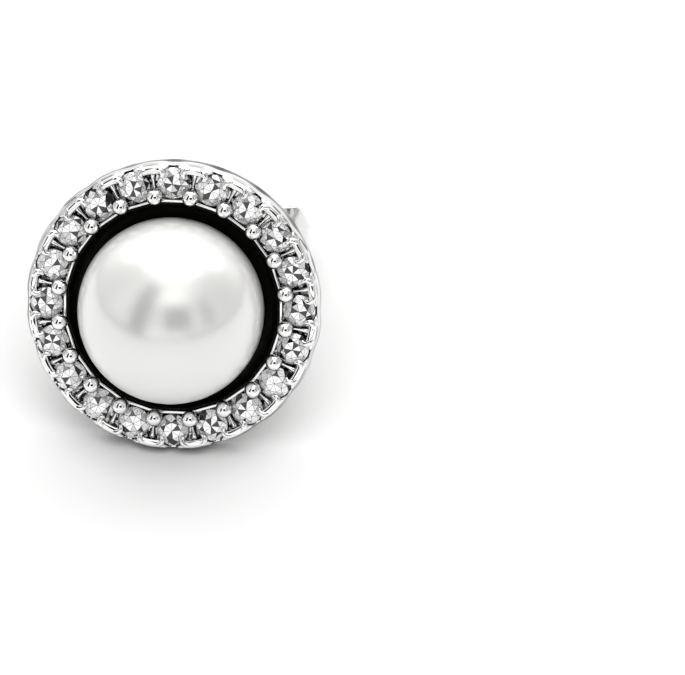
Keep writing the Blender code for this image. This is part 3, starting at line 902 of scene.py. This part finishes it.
def camera():
    """Long lens, with the pearl at its place in the photograph."""
    back = heading(VIEW_AZIMUTH, VIEW_ELEVATION)
    turn = back.to_track_quat('Z', 'Y')
    right = turn @ Vector((1.0, 0.0, 0.0))
    up = turn @ Vector((0.0, 1.0, 0.0))
    per_pixel = MM / PIXELS_PER_MM
    distance = PHOTO_WIDTH * per_pixel * LENS / SENSOR
    pearl_center = EARRING @ Vector((0.0, 0.0, PEARL_LEVEL))
    aside = (PHOTO_WIDTH / 2 - PEARL_PIXEL[0]) * per_pixel
    above = (PEARL_PIXEL[1] - PHOTO_HEIGHT / 2) * per_pixel
    target = pearl_center + right * aside + up * above
    data = bpy.data.cameras.new("camera")
    data.lens = LENS
    data.sensor_width = SENSOR
    data.clip_start = 0.01
    data.clip_end = 10.0
    view = bpy.data.objects.new("camera", data)
    bpy.context.scene.collection.objects.link(view)
    view.location = target + back * distance
    view.rotation_mode = 'QUATERNION'
    view.rotation_quaternion = turn
    bpy.context.scene.camera = view


def floor():
    """Plain pale floor, which is no part of the earring."""
    shape = bmesh.new()
    bmesh.ops.create_grid(shape, x_segments=1, y_segments=1, size=0.4)
    mesh = bpy.data.meshes.new("floor")
    shape.to_mesh(mesh)
    shape.free()
    material, _, shader = new_material("white_floor")
    shader.inputs["Base Color"].default_value = (*[FLOOR_ALBEDO] * 3, 1.0)
    shader.inputs["Roughness"].default_value = 0.9
    shader.inputs["Specular IOR Level"].default_value = 0.1
    mesh.materials.append(material)
    ground = bpy.data.objects.new("floor", mesh)
    bpy.context.scene.collection.objects.link(ground)
    return ground


def key_light(ground):
    """Soft key from above the camera, which only draws the shadow on the floor."""
    data = bpy.data.lights.new("key", 'SUN')
    data.energy = KEY_IRRADIANCE
    data.angle = KEY_ANGLE
    key = bpy.data.objects.new("key", data)
    bpy.context.scene.collection.objects.link(key)
    key.rotation_mode = 'QUATERNION'
    key.rotation_quaternion = heading(VIEW_AZIMUTH, KEY_ELEVATION).to_track_quat('Z', 'Y')
    lit = bpy.data.collections.new("lit_by_key")
    lit.objects.link(ground)
    key.light_linking.receiver_collection = lit


def studio():
    """Soft white studio: a bright dome with white boxes and dark gaps between them."""
    world = bpy.data.worlds.new("studio")
    bpy.context.scene.world = world
    world.use_nodes = True
    tree = world.node_tree
    background = tree.nodes["Background"]
    place = add_node(tree, "ShaderNodeTexCoord")

    def dot(direction):
        node = add_node(tree, "ShaderNodeVectorMath", operation='DOT_PRODUCT')
        tree.links.new(place.outputs["Generated"], node.inputs[0])
        node.inputs[1].default_value = direction
        return node.outputs["Value"]

    def calculate(operation, first, second):
        node = add_node(tree, "ShaderNodeMath", operation=operation)
        for socket, value in zip(node.inputs, (first, second)):
            if isinstance(value, (int, float)):
                socket.default_value = value
            else:
                tree.links.new(value, socket)
        return node.outputs["Value"]

    def soft_step(source, start, end):
        node = add_node(tree, "ShaderNodeMapRange", interpolation_type='SMOOTHSTEP')
        tree.links.new(source, node.inputs["Value"])
        node.inputs["From Min"].default_value = start
        node.inputs["From Max"].default_value = end
        return node.outputs["Result"]

    def card(under, azimuth, elevation, wide, high, soft, brightness):
        """A rectangle of the sky, angles in degrees, painted over what is under it."""
        ahead = heading(math.radians(azimuth), math.radians(elevation))
        side = Vector((0.0, 0.0, 1.0)).cross(ahead).normalized()
        rise = ahead.cross(side)
        depth = calculate('MAXIMUM', dot(ahead), 0.001)
        mask = soft_step(depth, 0.05, 0.15)
        for axis, size in ((side, wide), (rise, high)):
            offset = calculate('ABSOLUTE', calculate('DIVIDE', dot(axis), depth), 0.0)
            edge = math.tan(math.radians(size))
            inside = soft_step(offset, edge + soft, max(0.0, edge - soft))
            mask = calculate('MULTIPLY', mask, inside)
        change = calculate('MULTIPLY', calculate('SUBTRACT', brightness, under), mask)
        return calculate('ADD', under, change)

    height = dot(Vector((0.0, 0.0, 1.0)))
    sky = calculate('ADD', HORIZON, calculate('MULTIPLY', soft_step(height, 0.06, 0.12), DOME))
    sky = calculate('ADD', sky, calculate('MULTIPLY', soft_step(height, 0.84, 0.96), ZENITH))
    cards = (
        # azimuth, elevation, half width, half height, softness, brightness
        (6, 54, 19, 8, 0.05, 1.75),
        (180, 64, 46, 20, 0.15, 4.2),
        (-7, 8, 32, 5, 0.03, 1.35),
        (17, 28, 16, 15, 0.05, 0.0),
        (-35, 34, 11, 32, 0.05, 0.0),
        (59, 26, 9, 17, 0.08, 0.20),
        (98, 33, 22, 28, 0.20, 0.50),
        (-98, 35, 20, 30, 0.20, 0.60),
    )
    for values in cards:
        sky = card(sky, *values)
    tree.links.new(sky, background.inputs["Strength"])
    background.inputs["Color"].default_value = (1.0, 0.998, 0.992, 1.0)


halo_shell()
seat_ring()
well_bars()
bead_prongs()
claws()
ribs()
post()
well_lining()
pearl()
stones()
clutch()
key_light(floor())
studio()
camera()
bpy.context.scene.view_settings.view_transform = 'Standard'
